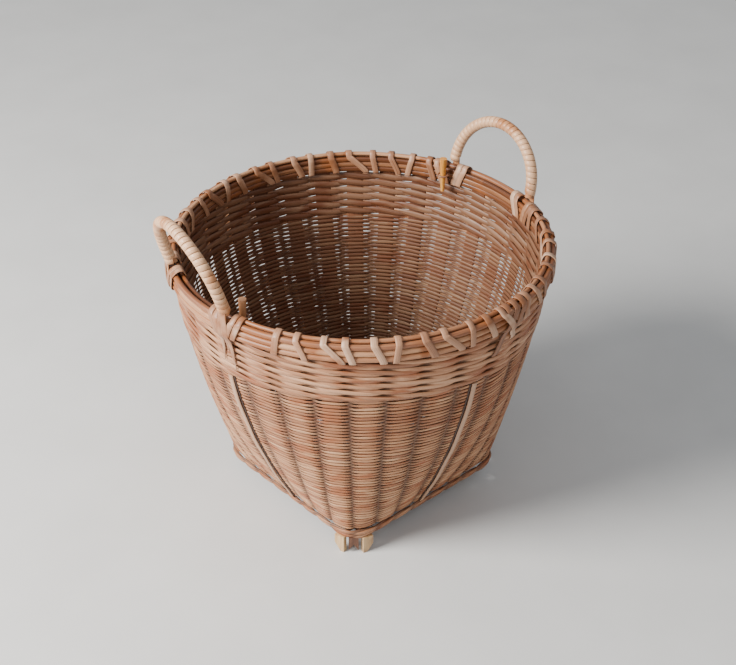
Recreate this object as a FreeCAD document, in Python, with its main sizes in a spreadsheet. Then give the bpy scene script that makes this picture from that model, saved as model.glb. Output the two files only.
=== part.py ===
# Woven wicker basket: square foot, round mouth, two wrapped cane handles.
# Millimetres. +Z is up, the origin is on the floor under the basket's axis, and
# the sides of the square foot run along X and Y.
import FreeCAD, Part
import Sketcher
import math
import os

os.makedirs("parts", exist_ok=True)
doc = FreeCAD.newDocument("wicker_basket")

# ---------------------------------------------------------------- driving sizes
SIZES = [
    # wall: a rounded square at the foot that flares into a circle at the mouth
    ("mouth_radius", 183.0), ("foot_side_radius", 103.0), ("foot_corner_radius", 134.0),
    ("side_flare", 1.68), ("corner_flare", 1.21),
    # heights
    ("foot_height", 19.0), ("wall_foot_height", 30.0), ("band_foot_height", 216.6),
    ("hoop_foot_height", 266.6), ("lace_room", 2.7),
    # stakes: flat bamboo strips that run up a wall, across the base and up the other wall
    ("stakes_per_side", 8), ("stake_thickness", 1.4), ("stake_width_foot", 15.5),
    ("stake_width_mouth", 17.5), ("stake_pitch_foot", 24.0), ("stake_bend_run", 6.0),
    ("stake_top_below_rim", 3.6), ("clearance", 0.3),
    # weave
    ("weave_half_thickness", 2.5), ("wale_half_thickness", 4.0), ("wale_rows", 6),
    ("base_wale_rows", 2), ("base_wale_height", 5.0), ("base_wale_thickness", 4.2),
    # rim
    ("cane_radius", 3.0), ("inner_hoop_thickness", 4.2), ("inner_hoop_height", 16.4),
    ("hoop_rounding", 1.2), ("top_cane_radius", 2.2),
    # lashing strips
    ("lace_width", 6.5), ("lace_thickness", 1.1), ("lace_pairs", 26), ("lace_pair_gap", 19.0),
    ("lace_slant", 7.0),
    # ribs
    ("rib_width", 6.5), ("rib_thickness", 1.5),
    # handles
    ("handle_core_radius", 4.3), ("handle_wrap_thickness", 1.3), ("handle_half_span", 16.9),
    ("right_handle_bearing", -0.6), ("right_handle_lean", 14.5), ("right_handle_leg", 4.5),
    ("left_handle_bearing", 170.7), ("left_handle_lean", 17.0), ("left_handle_leg", 17.0),
    ("tongue_width", 7.5), ("tongue_thickness", 1.2), ("tongue_length", 22.0),
    ("wrap_start", 4.0),
    ("peg_top_radius", 3.9), ("peg_point_radius", 2.0), ("peg_length", 38.0),
    ("peg_above_rim", 13.0), ("peg_from_foot", 4.5), ("loop_cane_radius", 1.0),
    ("loop_below_rim", 6.0),
    # corner feet
    ("fang_width", 11.0), ("fang_thickness", 5.0), ("tenon_thickness", 1.2),
    ("tenon_height", 3.0), ("fang_tip_width", 4.0), ("fang_shoulder_height", 9.0),
    ("fang_setback", 1.0), ("hidden_foot_inset", 30.0), ("fang_from_corner", 13.0),
    ("gusset_width", 10.0),
    ("gusset_thickness", 1.6), ("gusset_tip_height", 3.0), ("gusset_notch", 7.0),
]

sheet = doc.addObject("Spreadsheet::Sheet", "Sizes")
for row, (alias, value) in enumerate(SIZES, start=1):
    sheet.set(f"A{row}", alias)
    sheet.set(f"B{row}", str(value))
    sheet.setAlias(f"B{row}", alias)
doc.recompute()


def size(alias):
    return float(sheet.get(alias))


MOUTH = size("mouth_radius")
WALL_FOOT = size("wall_foot_height")
HOOP_FOOT = size("hoop_foot_height")
CLEAR = size("clearance")
STAKES = int(size("stakes_per_side"))
STAKE_T = size("stake_thickness")
STAKE_STEP = 360.0 / (4 * STAKES)
UP = FreeCAD.Vector(0, 0, 1)
EAST = FreeCAD.Vector(1, 0, 0)

# the rim's stack, worked out from the canes that it holds
CANE = size("cane_radius")
CANE_STEP = 2 * CANE + CLEAR
CANE_RING = MOUTH + STAKE_T / 2 + CLEAR + CANE
RIM_TOP = HOOP_FOOT + 2 * CANE + 2 * CANE_STEP
HOOP_OUTER = MOUTH - STAKE_T / 2 - CLEAR
HOOP_INNER = HOOP_OUTER - size("inner_hoop_thickness")
HOOP_TOP = HOOP_FOOT + size("inner_hoop_height")
TOP_CANE = size("top_cane_radius")
TOP_CANE_Z = max(HOOP_TOP, RIM_TOP - CANE) + TOP_CANE + 2 * CLEAR
STAKE_TOP = min(RIM_TOP, HOOP_TOP) - size("stake_top_below_rim")

# the polar angle of each handle's middle, and from there to its feet
HANDLES = {side: size(f"{side}_handle_bearing") for side in ("right", "left")}
HANDLE_HALF = size("handle_half_span")


# sections that a long strip or course is lofted through, and points round an outline
STAKE_SECTIONS = 12
BEND_SECTIONS = (0.25, 0.5, 0.75, 1.0)
WEAVE_SECTIONS = 9
RIB_SECTIONS = 10
OUTLINE_POINTS = 72
MOST_FILES = 60


# ---------------------------------------------------------------- the wall's shape
def wall_radii(z):
    """Distance from the axis to the wall's middle surface at a side and at a corner."""
    rise = 1.0 - min(1.0, max(0.0, (z - WALL_FOOT) / (HOOP_FOOT - WALL_FOOT)))
    side = MOUTH - (MOUTH - size("foot_side_radius")) * rise ** size("side_flare")
    corner = MOUTH - (MOUTH - size("foot_corner_radius")) * rise ** size("corner_flare")
    return side, corner


def wall_point(angle, z, offset=0.0):
    """Point at a polar angle (degrees) and height, offset outwards from the middle surface."""
    side, corner = wall_radii(z)
    power = 1.0 / (0.5 - math.log2(corner / side))
    bearing = math.radians(angle)
    spread = abs(math.cos(bearing)) ** power + abs(math.sin(bearing)) ** power
    radius = side / spread ** (1.0 / power)
    point = FreeCAD.Vector(radius * math.cos(bearing), radius * math.sin(bearing), z)
    if offset:
        point += wall_outward(angle, z) * (offset / wall_upright(angle, z))
    return point


def wall_along(angle, z):
    """Level direction along the wall, counter-clockwise seen from above."""
    return (wall_point(angle + 0.2, z) - wall_point(angle - 0.2, z)).normalize()


def wall_outward(angle, z):
    return wall_along(angle, z).cross(UP)


def wall_upright(angle, z):
    """Cosine of the wall's lean, so that an offset keeps its thickness on a leaning wall."""
    low = max(WALL_FOOT, z - 1.0)
    high = low + 2.0
    lean = (wall_point(angle, high) - wall_point(angle, low)).dot(wall_outward(angle, z))
    return 2.0 / math.hypot(2.0, lean)


def levels(low, high, count):
    return [low + (high - low) * step / count for step in range(count + 1)]


def solid_from(faces):
    """One closed solid from the faces around it, with its normals outwards."""
    shell = Part.makeShell(faces)
    shell.sewShape()
    solid = Part.makeSolid(shell)
    if solid.Volume < 0:
        solid.reverse()
    return solid


def strip(stations):
    """Solid strip through stations of (centre, half width vector, half thickness vector)."""
    sections = []
    for centre, across, through in stations:
        corners = [centre - across - through, centre + across - through,
                   centre + across + through, centre - across + through]
        sections.append(Part.makePolygon(corners + corners[:1]))
    side_faces = Part.makeLoft(sections, False, True).Faces
    return solid_from(side_faces + [Part.Face(sections[0]), Part.Face(sections[-1])])


def plain_piece(name, shape):
    piece = doc.addObject("Part::Feature", name)
    piece.Label = name
    piece.Shape = shape
    piece.Placement = FreeCAD.Placement()
    return piece


# ---------------------------------------------------------------- stakes
def stake_offsets():
    """Places of one side's stakes, counted in stake pitches from the side's middle."""
    return [number - (STAKES - 1) / 2 for number in range(STAKES)]


def foot_angle(offset):
    """Polar angle, from the side's middle, where a stake meets the wall's foot."""
    side, corner = wall_radii(WALL_FOOT)
    power = 1.0 / (0.5 - math.log2(corner / side))
    beside = offset * size("stake_pitch_foot")
    ahead = side * (1.0 - (abs(beside) / side) ** power) ** (1.0 / power)
    return math.degrees(math.atan2(beside, ahead))


def stake_angle(side_angle, offset, z):
    share = min(1.0, max(0.0, (z - WALL_FOOT) / (HOOP_FOOT - WALL_FOOT)))
    start = foot_angle(offset)
    return side_angle + start + (offset * STAKE_STEP - start) * share


def stake_half_width(z):
    share = min(1.0, max(0.0, (z - WALL_FOOT) / (HOOP_FOOT - WALL_FOOT)))
    wide = size("stake_width_mouth") - size("stake_width_foot")
    return 0.5 * (size("stake_width_foot") + wide * share)


def stake_section(side_angle, offset, z, room=0.0):
    """Level section of a stake: centre, half width vector, half thickness vector."""
    angle = stake_angle(side_angle, offset, z)
    along = wall_along(angle, z)
    across = along * (stake_half_width(z) + room)
    through = wall_outward(angle, z) * ((STAKE_T / 2 + room) / wall_upright(angle, z))
    return wall_point(angle, z), across, through


def stake(side_angle, offset, mat_z):
    """One strip: down a wall, across the base at mat_z and up the opposite wall."""
    heights = levels(STAKE_TOP, HOOP_FOOT, 1) + levels(HOOP_FOOT, WALL_FOOT, STAKE_SECTIONS)[1:]
    first = [stake_section(side_angle, offset, z) for z in heights]
    second = [stake_section(side_angle + 180.0, -offset, z) for z in reversed(heights)]
    second = [(centre, -across, through) for centre, across, through in second]
    return strip(first + stake_bend(first, mat_z)
                 + stake_bend(second[::-1], mat_z)[::-1] + second)


def stake_bend(wall_stations, mat_z):
    """Stations of the turn from the wall's foot to the flat base, and its last one."""
    above, foot = wall_stations[-2], wall_stations[-1]
    down = (foot[0] - above[0]).normalize()
    corner = foot[0] + down * ((foot[0].z - mat_z) / -down.z)
    inward = -foot[2]
    inward.z = 0
    # the strip crosses the base along X or Y, whichever its wall faces
    facing = FreeCAD.Vector(round(inward.x / inward.Length), round(inward.y / inward.Length), 0)
    across_base = FreeCAD.Vector(foot[1].x * abs(facing.y), foot[1].y * abs(facing.x), 0)
    across_base = across_base.normalize() * stake_half_width(WALL_FOOT)
    end = corner + facing * size("stake_bend_run")
    stations = []
    for share in BEND_SECTIONS:
        near, middle, far = (1 - share) ** 2, 2 * share * (1 - share), share ** 2
        centre = foot[0] * near + corner * middle + end * far
        heading = (corner - foot[0]) * (1 - share) + (end - corner) * share
        width = foot[1] * (1 - share) + across_base * share
        through = heading.cross(width).normalize()
        if through.z > 0:
            through = -through
        across = through.cross(heading).normalize()
        if across.dot(foot[1]) < 0:
            across = -across
        stations.append((centre, across * stake_half_width(WALL_FOOT), through * (STAKE_T / 2)))
    return stations


# strips along Y lie under the strips along X, and the two layers make the base
LOWER_MAT_Z = size("foot_height") + size("base_wale_height") - STAKE_T / 2
UPPER_MAT_Z = LOWER_MAT_Z + STAKE_T + CLEAR
for number, offset in enumerate(stake_offsets(), start=1):
    plain_piece(f"stake_along_y_{number}", stake(90.0, offset, LOWER_MAT_Z))
    plain_piece(f"stake_along_x_{number}", stake(0.0, offset, UPPER_MAT_Z))


# ---------------------------------------------------------------- woven courses
def ring_wire(z, offset):
    """Smooth closed outline of the wall at one height, offset from its middle surface."""
    points = [wall_point(360.0 * step / OUTLINE_POINTS, z, offset)
              for step in range(OUTLINE_POINTS)]
    curve = Part.BSplineCurve()
    curve.interpolate(Points=points, PeriodicFlag=True)
    return Part.Wire(curve.toShape())


def woven_course(low, high, half_thickness, steps):
    """Ring of weave from low to high, with a passage around every stake."""
    heights = levels(low, high, steps)
    outlines = [[ring_wire(z, half_thickness) for z in heights],
                [ring_wire(z, -half_thickness) for z in heights]]
    for side_angle in (0.0, 90.0, 180.0, 270.0):
        for offset in stake_offsets():
            passage = []
            for z in heights:
                centre, across, through = stake_section(side_angle, offset, z, CLEAR)
                corners = [centre - across - through, centre + across - through,
                           centre + across + through, centre - across + through]
                passage.append(Part.makePolygon(corners + corners[:1]))
            outlines.append(passage)
    faces = []
    for wires in outlines:
        faces += Part.makeLoft(wires, False, True).Faces
    for end in (0, -1):
        faces += Part.makeFace([wires[end] for wires in outlines],
                               "Part::FaceMakerBullseye").Faces
    return solid_from(faces)


BAND_FOOT = size("band_foot_height")
plain_piece("fine_weave", woven_course(WALL_FOOT + CLEAR, BAND_FOOT - CLEAR,
                                       size("weave_half_thickness"), WEAVE_SECTIONS))

WALE_ROWS = int(size("wale_rows"))
WALE_STEP = (HOOP_FOOT - size("lace_room") - BAND_FOOT) / WALE_ROWS
for row in range(WALE_ROWS):
    low = BAND_FOOT + row * WALE_STEP
    plain_piece(f"wale_row_{row + 1}",
                woven_course(low, low + WALE_STEP - CLEAR, size("wale_half_thickness"), 1))


def base_wale_row(low, high):
    """Plain ring that binds the stakes from outside where they turn under the base."""
    inner = STAKE_T / 2 + 2 * CLEAR
    outer = inner + size("base_wale_thickness")
    wires = []
    for offset in (outer, inner):
        flat = ring_wire(WALL_FOOT, offset)
        wires.append([flat.translated(UP * (z - WALL_FOOT)) for z in (low, high)])
    faces = []
    for pair in wires:
        faces += Part.makeLoft(pair, False, True).Faces
    for end in (0, 1):
        faces += Part.makeFace([pair[end] for pair in wires], "Part::FaceMakerBullseye").Faces
    return solid_from(faces)


BASE_WALE_STEP = size("base_wale_height") + CLEAR
for row in range(int(size("base_wale_rows"))):
    low = size("foot_height") + row * BASE_WALE_STEP
    plain_piece(f"base_wale_row_{row + 1}", base_wale_row(low, low + size("base_wale_height")))


# ---------------------------------------------------------------- rim
def cane_ring(name, ring_radius, cane_radius, height, start=0.0, sweep=360.0):
    """Round cane bent into a ring or part of one; the sizes are expressions of the sheet."""
    ring = doc.addObject("Part::Torus", name)
    ring.Label = name
    ring.setExpression("Radius1", ring_radius)
    ring.setExpression("Radius2", cane_radius)
    ring.setExpression("Placement.Base.z", height)
    ring.Angle3 = sweep
    ring.Placement.Rotation = FreeCAD.Rotation(UP, start)
    return ring


STACK = "Sizes.mouth_radius + Sizes.stake_thickness / 2 + Sizes.clearance + Sizes.cane_radius"
for row, name in enumerate(("bottom", "middle", "top")):
    cane_ring(f"rim_outer_cane_{name}", STACK, "Sizes.cane_radius",
              f"Sizes.hoop_foot_height + Sizes.cane_radius"
              f" + {row} * (2 * Sizes.cane_radius + Sizes.clearance)")

# ---------------------------------------------------------------- PartDesign helpers
def new_body(name):
    body = doc.addObject("PartDesign::Body", name)
    body.Label = name
    return body


def new_sketch(body, role, name):
    sketch = body.newObject("Sketcher::SketchObject", name)
    plane = next(item for item in body.Origin.OriginFeatures if item.Role == role)
    sketch.AttachmentSupport = (plane, "")
    sketch.MapMode = "FlatFace"
    return sketch


def place_point(sketch, geometry, end, across, up):
    """Hold one end of a line at expressions of the sheet, measured from the sketch's origin."""
    for kind, expression in (("DistanceX", across), ("DistanceY", up)):
        start = float(sheet.evalExpression(expression))
        index = sketch.addConstraint(Sketcher.Constraint(kind, -1, 1, geometry, end, start))
        sketch.setExpression(f"Constraints[{index}]", expression)


def outline(sketch, corners):
    """Closed outline through corners given as pairs of expressions."""
    places = [FreeCAD.Vector(float(sheet.evalExpression(across)),
                             float(sheet.evalExpression(up)), 0) for across, up in corners]
    count = len(corners)
    for number in range(count):
        sketch.addGeometry(Part.LineSegment(places[number], places[(number + 1) % count]))
    for number in range(count):
        sketch.addConstraint(Sketcher.Constraint("Coincident", number, 2,
                                                 (number + 1) % count, 1))
    for number, (across, up) in enumerate(corners):
        place_point(sketch, number, 1, across, up)


def rectangle(sketch, left, right, low, high):
    outline(sketch, [(left, low), (right, low), (right, high), (left, high)])


def pad(body, sketch, thickness, name, downwards=False):
    made = body.newObject("PartDesign::Pad", name)
    made.Profile = sketch
    made.setExpression("Length", thickness)
    made.Reversed = downwards
    return made


def facing_outwards(angle, z, base_z):
    """Placement with X along the wall, -Y outwards and the origin under the wall's middle."""
    along = wall_along(angle, z)
    base = wall_point(angle, z)
    base.z = base_z
    return FreeCAD.Placement(base, FreeCAD.Rotation(along, UP.cross(along), UP, "ZXY"))


# the inner hoop: a flat bamboo hoop inside the stakes
inner_hoop = new_body("rim_inner_hoop")
hoop_sketch = new_sketch(inner_hoop, "XZ_Plane", "hoop_section")
HOOP_OUTER_RULE = "Sizes.mouth_radius - Sizes.stake_thickness / 2 - Sizes.clearance"
rectangle(hoop_sketch, HOOP_OUTER_RULE + " - Sizes.inner_hoop_thickness", HOOP_OUTER_RULE,
          "Sizes.hoop_foot_height", "Sizes.hoop_foot_height + Sizes.inner_hoop_height")
hoop_turn = inner_hoop.newObject("PartDesign::Revolution", "hoop_turn")
hoop_turn.Profile = hoop_sketch
hoop_turn.ReferenceAxis = (hoop_sketch, ["V_Axis"])
hoop_turn.Angle = 360.0
doc.recompute()
hoop_edges = inner_hoop.newObject("PartDesign::Fillet", "hoop_edges")
hoop_edges.Base = (hoop_turn, [f"Edge{number}" for number, edge
                               in enumerate(hoop_turn.Shape.Edges, start=1)
                               if isinstance(edge.Curve, Part.Circle)])
hoop_edges.setExpression("Radius", "Sizes.hoop_rounding")

# the round cane on top covers the ends of the stakes between the two handles
WRAP_RADIUS = size("handle_core_radius") + CLEAR + size("handle_wrap_thickness")
CUFF_HALF = math.degrees((WRAP_RADIUS + CLEAR) / MOUTH)
TOP_CANE_RING = "Sizes.mouth_radius - Sizes.top_cane_radius / 4"
for stretch, start, end in (("back", HANDLES["right"], HANDLES["left"]),
                            ("front", HANDLES["left"], HANDLES["right"] + 360.0)):
    clear_of_foot = HANDLE_HALF + CUFF_HALF
    cane_ring(f"rim_top_cane_{stretch}", TOP_CANE_RING, "Sizes.top_cane_radius",
              str(TOP_CANE_Z), start + clear_of_foot, end - start - 2 * clear_of_foot)


# ---------------------------------------------------------------- lashing
LACE_OFF = CLEAR + size("lace_thickness") / 2
LACE_LOW = HOOP_FOOT - size("lace_room") / 2
LACE_TURN_IN = 1.5         # height over which a strip turns in below the hoop and the canes
LACE_EASE = 0.1            # extra room where a strip goes over a round cane
LACE_TUCK_SLACK = 1.2      # how far a strip draws in before it is tucked through the wall
LACE_STRAIGHT = 0.8        # share of its slant that a strip makes below its upper turn
ROUND_CANE_SHARE = 0.75    # where on a round cane, from its centre, a strip turns down


def lace(top_angle, in_angle, out_angle, over=0.0):
    """Strip over the rim: tucked through the wall inside, over the top, tucked in outside.

    Each angle is where the strip crosses that part of the rim, and over is the thickness
    of what it holds against the outer canes.
    """
    tuck = STAKE_T / 2 + 2 * CLEAR
    inside, outside = HOOP_INNER - LACE_OFF, CANE_RING + CANE + LACE_OFF + over
    high = TOP_CANE_Z + TOP_CANE
    shoulder = ROUND_CANE_SHARE * (CANE + LACE_OFF + over)
    in_shoulder_angle = top_angle + (1 - LACE_STRAIGHT) * (in_angle - top_angle)
    out_shoulder_angle = top_angle + (1 - LACE_STRAIGHT) * (out_angle - top_angle)
    path = [
        (MOUTH - tuck, LACE_LOW, in_angle), (inside + CLEAR, LACE_LOW, in_angle),
        (inside, HOOP_FOOT + LACE_TURN_IN, in_angle),
        (inside, HOOP_TOP - LACE_TURN_IN, in_shoulder_angle),
        (HOOP_INNER - CLEAR - LACE_EASE, HOOP_TOP + LACE_OFF, top_angle),
        (MOUTH - TOP_CANE - LACE_TUCK_SLACK, high + LACE_EASE, top_angle),
        (MOUTH - TOP_CANE / 4, high + LACE_OFF, top_angle),
        (MOUTH + TOP_CANE, high + LACE_EASE, top_angle),
        (CANE_RING + CANE / 3, RIM_TOP + LACE_OFF + LACE_EASE, top_angle),
        (CANE_RING + shoulder, RIM_TOP - CANE + shoulder, top_angle),
        (outside, RIM_TOP - CANE, out_shoulder_angle),
        (outside, HOOP_FOOT + LACE_TURN_IN, out_angle),
        (outside - LACE_TUCK_SLACK, LACE_LOW, out_angle),
        (MOUTH + tuck, LACE_LOW, out_angle),
    ]
    places = [FreeCAD.Vector(radius * math.cos(math.radians(angle)),
                             radius * math.sin(math.radians(angle)), z)
              for radius, z, angle in path]
    stations = []
    for number, place in enumerate(places):
        before, after = places[max(0, number - 1)], places[min(len(places) - 1, number + 1)]
        heading = (after - before).normalize()
        bearing = math.radians(path[number][2])
        along = FreeCAD.Vector(-math.sin(bearing), math.cos(bearing), 0)
        through = along.cross(heading).normalize()
        across = heading.cross(through).normalize()
        stations.append((place, across * (size("lace_width") / 2),
                         through * (size("lace_thickness") / 2)))
    return strip(stations)


def gap_angle(wanted):
    """Nearest angle at which a lace strip passes between two stakes."""
    middle = round(wanted / STAKE_STEP) * STAKE_STEP
    room = (math.radians(STAKE_STEP) * MOUTH - size("stake_width_mouth")
            - size("lace_width")) / 2 - CLEAR
    limit = math.degrees(room / MOUTH)
    return middle + max(-limit, min(limit, wanted - middle))


SLANT = math.degrees(size("lace_slant") / MOUTH)
PAIR_HALF = math.degrees(size("lace_pair_gap") / 2 / MOUTH)
CUFF_TOP = math.degrees((WRAP_RADIUS + CLEAR + size("lace_width") / 2) / MOUTH)
CUFF_TUCK = math.degrees((size("lace_width") / 2 + CLEAR) / MOUTH)
BESIDE_CUFF = HANDLE_HALF + math.degrees((size("lace_width") + CLEAR) / MOUTH)


def from_handle(angle):
    return min(abs((angle - handle + 180.0) % 360.0 - 180.0) for handle in HANDLES.values())


def clear_of_handles(top_angle, in_angle, out_angle):
    """Whether a strip passes beside the strips that bind the handles' feet."""
    return (from_handle(top_angle) > BESIDE_CUFF + CUFF_TOP
            and min(from_handle(in_angle), from_handle(out_angle)) > BESIDE_CUFF + CUFF_TUCK)


laces = []
for pair in range(int(size("lace_pairs"))):
    middle = pair * 360.0 / size("lace_pairs")
    routes = [(top_angle, gap_angle(top_angle - SLANT), gap_angle(top_angle + SLANT))
              for top_angle in (middle - PAIR_HALF, middle + PAIR_HALF)]
    if all(clear_of_handles(*route) for route in routes):
        laces.extend(lace(*route) for route in routes)
plain_piece("rim_lashing", Part.makeCompound(laces))

for side, handle in HANDLES.items():
    cuffs = []
    for foot in (handle - HANDLE_HALF, handle + HANDLE_HALF):
        for turn in (-1, 1):
            cuffs.append(lace(foot + turn * CUFF_TOP, foot + turn * CUFF_TUCK,
                              foot + turn * CUFF_TUCK, size("tongue_thickness") + CLEAR))
    plain_piece(f"handle_lashing_{side}", Part.makeCompound(cuffs))


# ---------------------------------------------------------------- ribs
def rib(side_angle, offset):
    """Flat strip over one stake, on the outside of the fine weave."""
    half = size("rib_thickness") / 2
    away = size("weave_half_thickness") + CLEAR + half
    stations = []
    for z in levels(WALL_FOOT + CLEAR, BAND_FOOT - 2 * CLEAR, RIB_SECTIONS):
        angle = stake_angle(side_angle, offset, z)
        stations.append((wall_point(angle, z, away),
                         wall_along(angle, z) * (size("rib_width") / 2),
                         wall_outward(angle, z) * (half / wall_upright(angle, z))))
    return strip(stations)


for name, side_angle, offset in (("front_left", 180.0, 0.5), ("front_right", 270.0, -0.5),
                                 ("back_right", 0.0, 0.5), ("back_left", 90.0, -0.5)):
    plain_piece(f"rib_{name}", rib(side_angle, offset))


# ---------------------------------------------------------------- handles
HALF_CHORD_RULE = f"({STACK}) * sin(Sizes.handle_half_span * 1 deg)"
HANDLE_FOOT_Z = TOP_CANE_Z + TOP_CANE + 2 * CLEAR + size("lace_thickness")


def handle_path(body, leg_rule, start_rule):
    """Two straight legs from start_rule up and a half circle between them, in the XZ plane."""
    path = new_sketch(body, "XZ_Plane", body.Name + "_path")
    reach = float(sheet.evalExpression(HALF_CHORD_RULE))
    leg, start = (float(sheet.evalExpression(rule)) for rule in (leg_rule, start_rule))
    path.addGeometry(Part.LineSegment(FreeCAD.Vector(-reach, start, 0),
                                      FreeCAD.Vector(-reach, leg, 0)))
    half_circle = Part.Circle(FreeCAD.Vector(0, leg, 0), FreeCAD.Vector(0, 0, 1), reach)
    path.addGeometry(Part.ArcOfCircle(half_circle, 0, math.pi))
    path.addGeometry(Part.LineSegment(FreeCAD.Vector(reach, leg, 0),
                                      FreeCAD.Vector(reach, start, 0)))
    path.addConstraint(Sketcher.Constraint("Coincident", 0, 2, 1, 2))
    path.addConstraint(Sketcher.Constraint("Coincident", 1, 1, 2, 1))
    place_point(path, 0, 1, "-" + HALF_CHORD_RULE, start_rule)
    place_point(path, 0, 2, "-" + HALF_CHORD_RULE, leg_rule)
    place_point(path, 2, 2, HALF_CHORD_RULE, start_rule)
    place_point(path, 2, 1, HALF_CHORD_RULE, leg_rule)
    centre_height = path.addConstraint(Sketcher.Constraint("DistanceY", -1, 1, 1, 3, leg))
    path.setExpression(f"Constraints[{centre_height}]", leg_rule)
    return path


def handle_section(body, radii, start_rule):
    """Circles around the path's start, one for each radius."""
    section = new_sketch(body, "XY_Plane", body.Name + "_section")
    section.setExpression("AttachmentOffset.Base.z", start_rule)
    for number, rule in enumerate(radii):
        reach = float(sheet.evalExpression(HALF_CHORD_RULE))
        radius = float(sheet.evalExpression(rule))
        section.addGeometry(Part.Circle(FreeCAD.Vector(-reach, 0, 0),
                                        FreeCAD.Vector(0, 0, 1), radius))
        place_point(section, number, 3, "-" + HALF_CHORD_RULE, "0")
        index = section.addConstraint(Sketcher.Constraint("Radius", number, radius))
        section.setExpression(f"Constraints[{index}]", rule)
    return section


def handle_pipe(body, radii, leg_rule, start_rule):
    pipe = body.newObject("PartDesign::AdditivePipe", body.Name + "_bend")
    path = handle_path(body, leg_rule, start_rule)
    pipe.Profile = handle_section(body, radii, start_rule)
    pipe.Spine = (path, ["Edge1", "Edge2", "Edge3"])
    return pipe


def handle_place(middle, lean):
    """X along the chord between the feet, Z up the leaning arch, origin between the feet."""
    bearing = math.radians(middle)
    radius = CANE_RING * math.cos(math.radians(HANDLE_HALF))
    base = FreeCAD.Vector(radius * math.cos(bearing), radius * math.sin(bearing), HANDLE_FOOT_Z)
    turn = FreeCAD.Rotation(UP, middle + 90.0)
    return FreeCAD.Placement(base, turn.multiply(FreeCAD.Rotation(EAST, lean)))


def handle_tongue(core, end, turn, lean):
    """The foot is pared down to a flat tongue that lies outside the rim canes, upright."""
    away = CANE + CLEAR + size("tongue_thickness") / 2
    upright = FreeCAD.Rotation(EAST, -lean)
    half_span = math.radians(HANDLE_HALF)
    # it starts a little way up inside the round foot, so that the two run into each other
    start = size("handle_core_radius") / 2
    place = upright.multVec(FreeCAD.Vector(0, -away * math.cos(half_span), start))
    tongue = new_sketch(core, "XY_Plane", f"{core.Name}_tongue_{end}")
    tongue.AttachmentOffset = FreeCAD.Placement(
        place, upright.multiply(FreeCAD.Rotation(UP, turn * HANDLE_HALF)))
    tongue.setExpression(
        "AttachmentOffset.Base.x",
        f"{turn} * ({STACK} + Sizes.cane_radius + Sizes.clearance"
        f" + Sizes.tongue_thickness / 2) * sin(Sizes.handle_half_span * 1 deg)")
    rectangle(tongue, "-Sizes.tongue_width / 2", "Sizes.tongue_width / 2",
              "-Sizes.tongue_thickness / 2", "Sizes.tongue_thickness / 2")
    pad(core, tongue, "Sizes.tongue_length", f"{core.Name}_tongue_pad_{end}", True)


for side, middle in HANDLES.items():
    lean = size(f"{side}_handle_lean")
    leg_rule = f"Sizes.{side}_handle_leg"
    core = new_body(f"handle_core_{side}")
    handle_pipe(core, ["Sizes.handle_core_radius"], leg_rule, "0")
    for turn, end in ((-1, "first"), (1, "second")):
        handle_tongue(core, end, turn, lean)
    core.Placement = handle_place(middle, lean)

    wrap = new_body(f"handle_wrap_{side}")
    inner = "Sizes.handle_core_radius + Sizes.clearance"
    handle_pipe(wrap, [inner, inner + " + Sizes.handle_wrap_thickness"], leg_rule,
                "Sizes.wrap_start")
    wrap.Placement = handle_place(middle, lean)

    # a tapered bamboo peg beside one foot, held to the inner hoop by a loop of cane
    peg_angle = middle + HANDLE_HALF + math.degrees(size("peg_from_foot") / MOUTH)
    peg_ring = (HOOP_INNER - 2 * LACE_OFF - 2 * CLEAR - 2 * size("loop_cane_radius")
                - size("peg_top_radius"))
    peg_centre = FreeCAD.Vector(peg_ring * math.cos(math.radians(peg_angle)),
                                peg_ring * math.sin(math.radians(peg_angle)), 0)
    peg = doc.addObject("Part::Cone", f"handle_peg_{side}")
    peg.Label = f"handle_peg_{side}"
    peg.setExpression("Radius1", "Sizes.peg_point_radius")
    peg.setExpression("Radius2", "Sizes.peg_top_radius")
    peg.setExpression("Height", "Sizes.peg_length")
    peg.Placement.Base = peg_centre + UP * (RIM_TOP + size("peg_above_rim")
                                            - size("peg_length"))
    loop = doc.addObject("Part::Torus", f"peg_loop_{side}")
    loop.Label = f"peg_loop_{side}"
    loop.setExpression("Radius1", "Sizes.peg_top_radius + Sizes.clearance"
                                  " + Sizes.loop_cane_radius")
    loop.setExpression("Radius2", "Sizes.loop_cane_radius")
    loop.Placement.Base = peg_centre + UP * (RIM_TOP - size("loop_below_rim"))


# ---------------------------------------------------------------- corner feet
FANG_TOP_RULE = "Sizes.foot_height - Sizes.clearance"


def fang(name, angle, turn, inset):
    """Split bamboo foot with a thin tenon that goes up to the base."""
    body = new_body(name)
    face = new_sketch(body, "XZ_Plane", name + "_face")
    face.setExpression("AttachmentOffset.Base.z", "-Sizes.fang_setback")
    near, far = f"{turn} * Sizes.fang_width / 2", f"-({turn}) * Sizes.fang_width / 2"
    outline(face, [(near, "0"), (near, FANG_TOP_RULE), (far, FANG_TOP_RULE),
                   (far, "Sizes.fang_shoulder_height"),
                   (f"{near} - ({turn}) * Sizes.fang_tip_width", "0")])
    pad(body, face, "Sizes.fang_thickness", name + "_pad")
    tenon = new_sketch(body, "XZ_Plane", name + "_tenon")
    tenon.setExpression("AttachmentOffset.Base.z", "-Sizes.fang_setback")
    rectangle(tenon, "-Sizes.fang_width / 2", "Sizes.fang_width / 2",
              "Sizes.fang_shoulder_height", FANG_TOP_RULE + " + Sizes.tenon_height")
    pad(body, tenon, "Sizes.tenon_thickness", name + "_tenon_pad")
    body.Placement = FreeCAD.Placement(inset, FreeCAD.Rotation()).multiply(
        facing_outwards(angle, WALL_FOOT, 0.0))


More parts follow.
